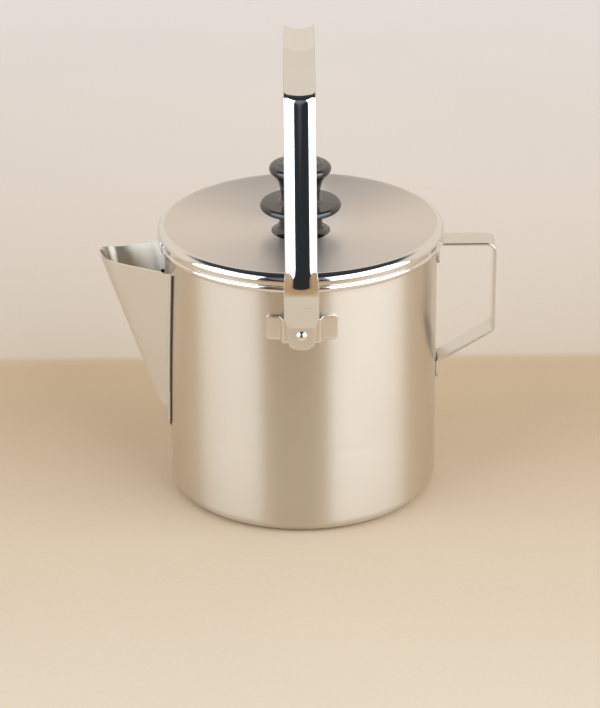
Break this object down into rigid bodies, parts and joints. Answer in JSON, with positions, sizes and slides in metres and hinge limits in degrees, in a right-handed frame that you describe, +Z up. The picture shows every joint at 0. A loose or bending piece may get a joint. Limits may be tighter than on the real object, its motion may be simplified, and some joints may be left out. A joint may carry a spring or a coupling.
{
  "type": "coffee pot",
  "caption": "Straight-sided stainless steel coffee pot with a folded wedge spout, a fixed strip handle, a swinging bail and a lift-off lid with a turned knob.",
  "frame": {"origin": "centre of the flat underside of the body, on the surface that the pot stands on", "axes": "+Z up the body's axis, -X towards the spout, +X towards the rear handle, Y along the bail's pivot axis"},
  "size_m": [0.2042, 0.1632, 0.2371],
  "materials": {
    "satin_steel": "fine satin brushing with polished edges",
    "polished_steel": "polished, with fine scratches",
    "black_plastic": "glossy moulded",
    "brass": "machined"
  },
  "bodies": {
    "pot": {"pot_body": "satin_steel", "spout": "satin_steel", "rear_handle": "polished_steel", "bail_bracket_left": "satin_steel", "bail_bracket_right": "satin_steel", "bail_rivet_left": "polished_steel", "bail_rivet_right": "polished_steel"},
    "bail": {"bail_handle": "polished_steel"},
    "lid": {"lid_shell": "satin_steel", "lid_collar": "satin_steel", "lid_knob": "black_plastic", "knob_insert": "brass", "knob_screw": "polished_steel", "knob_washer": "polished_steel"}
  },
  "joints": [
    {"name": "bail_swing", "type": "hinge", "parent": "pot", "child": "bail", "pos_m": [0, 0, 0.1128], "axis": [0, 1, 0], "range_deg": [-141, 141]},
    {"name": "lid_lift", "type": "slide", "parent": "pot", "child": "lid", "axis": [0, 0, 1], "range_m": [0, 0.0145]}
  ]
}
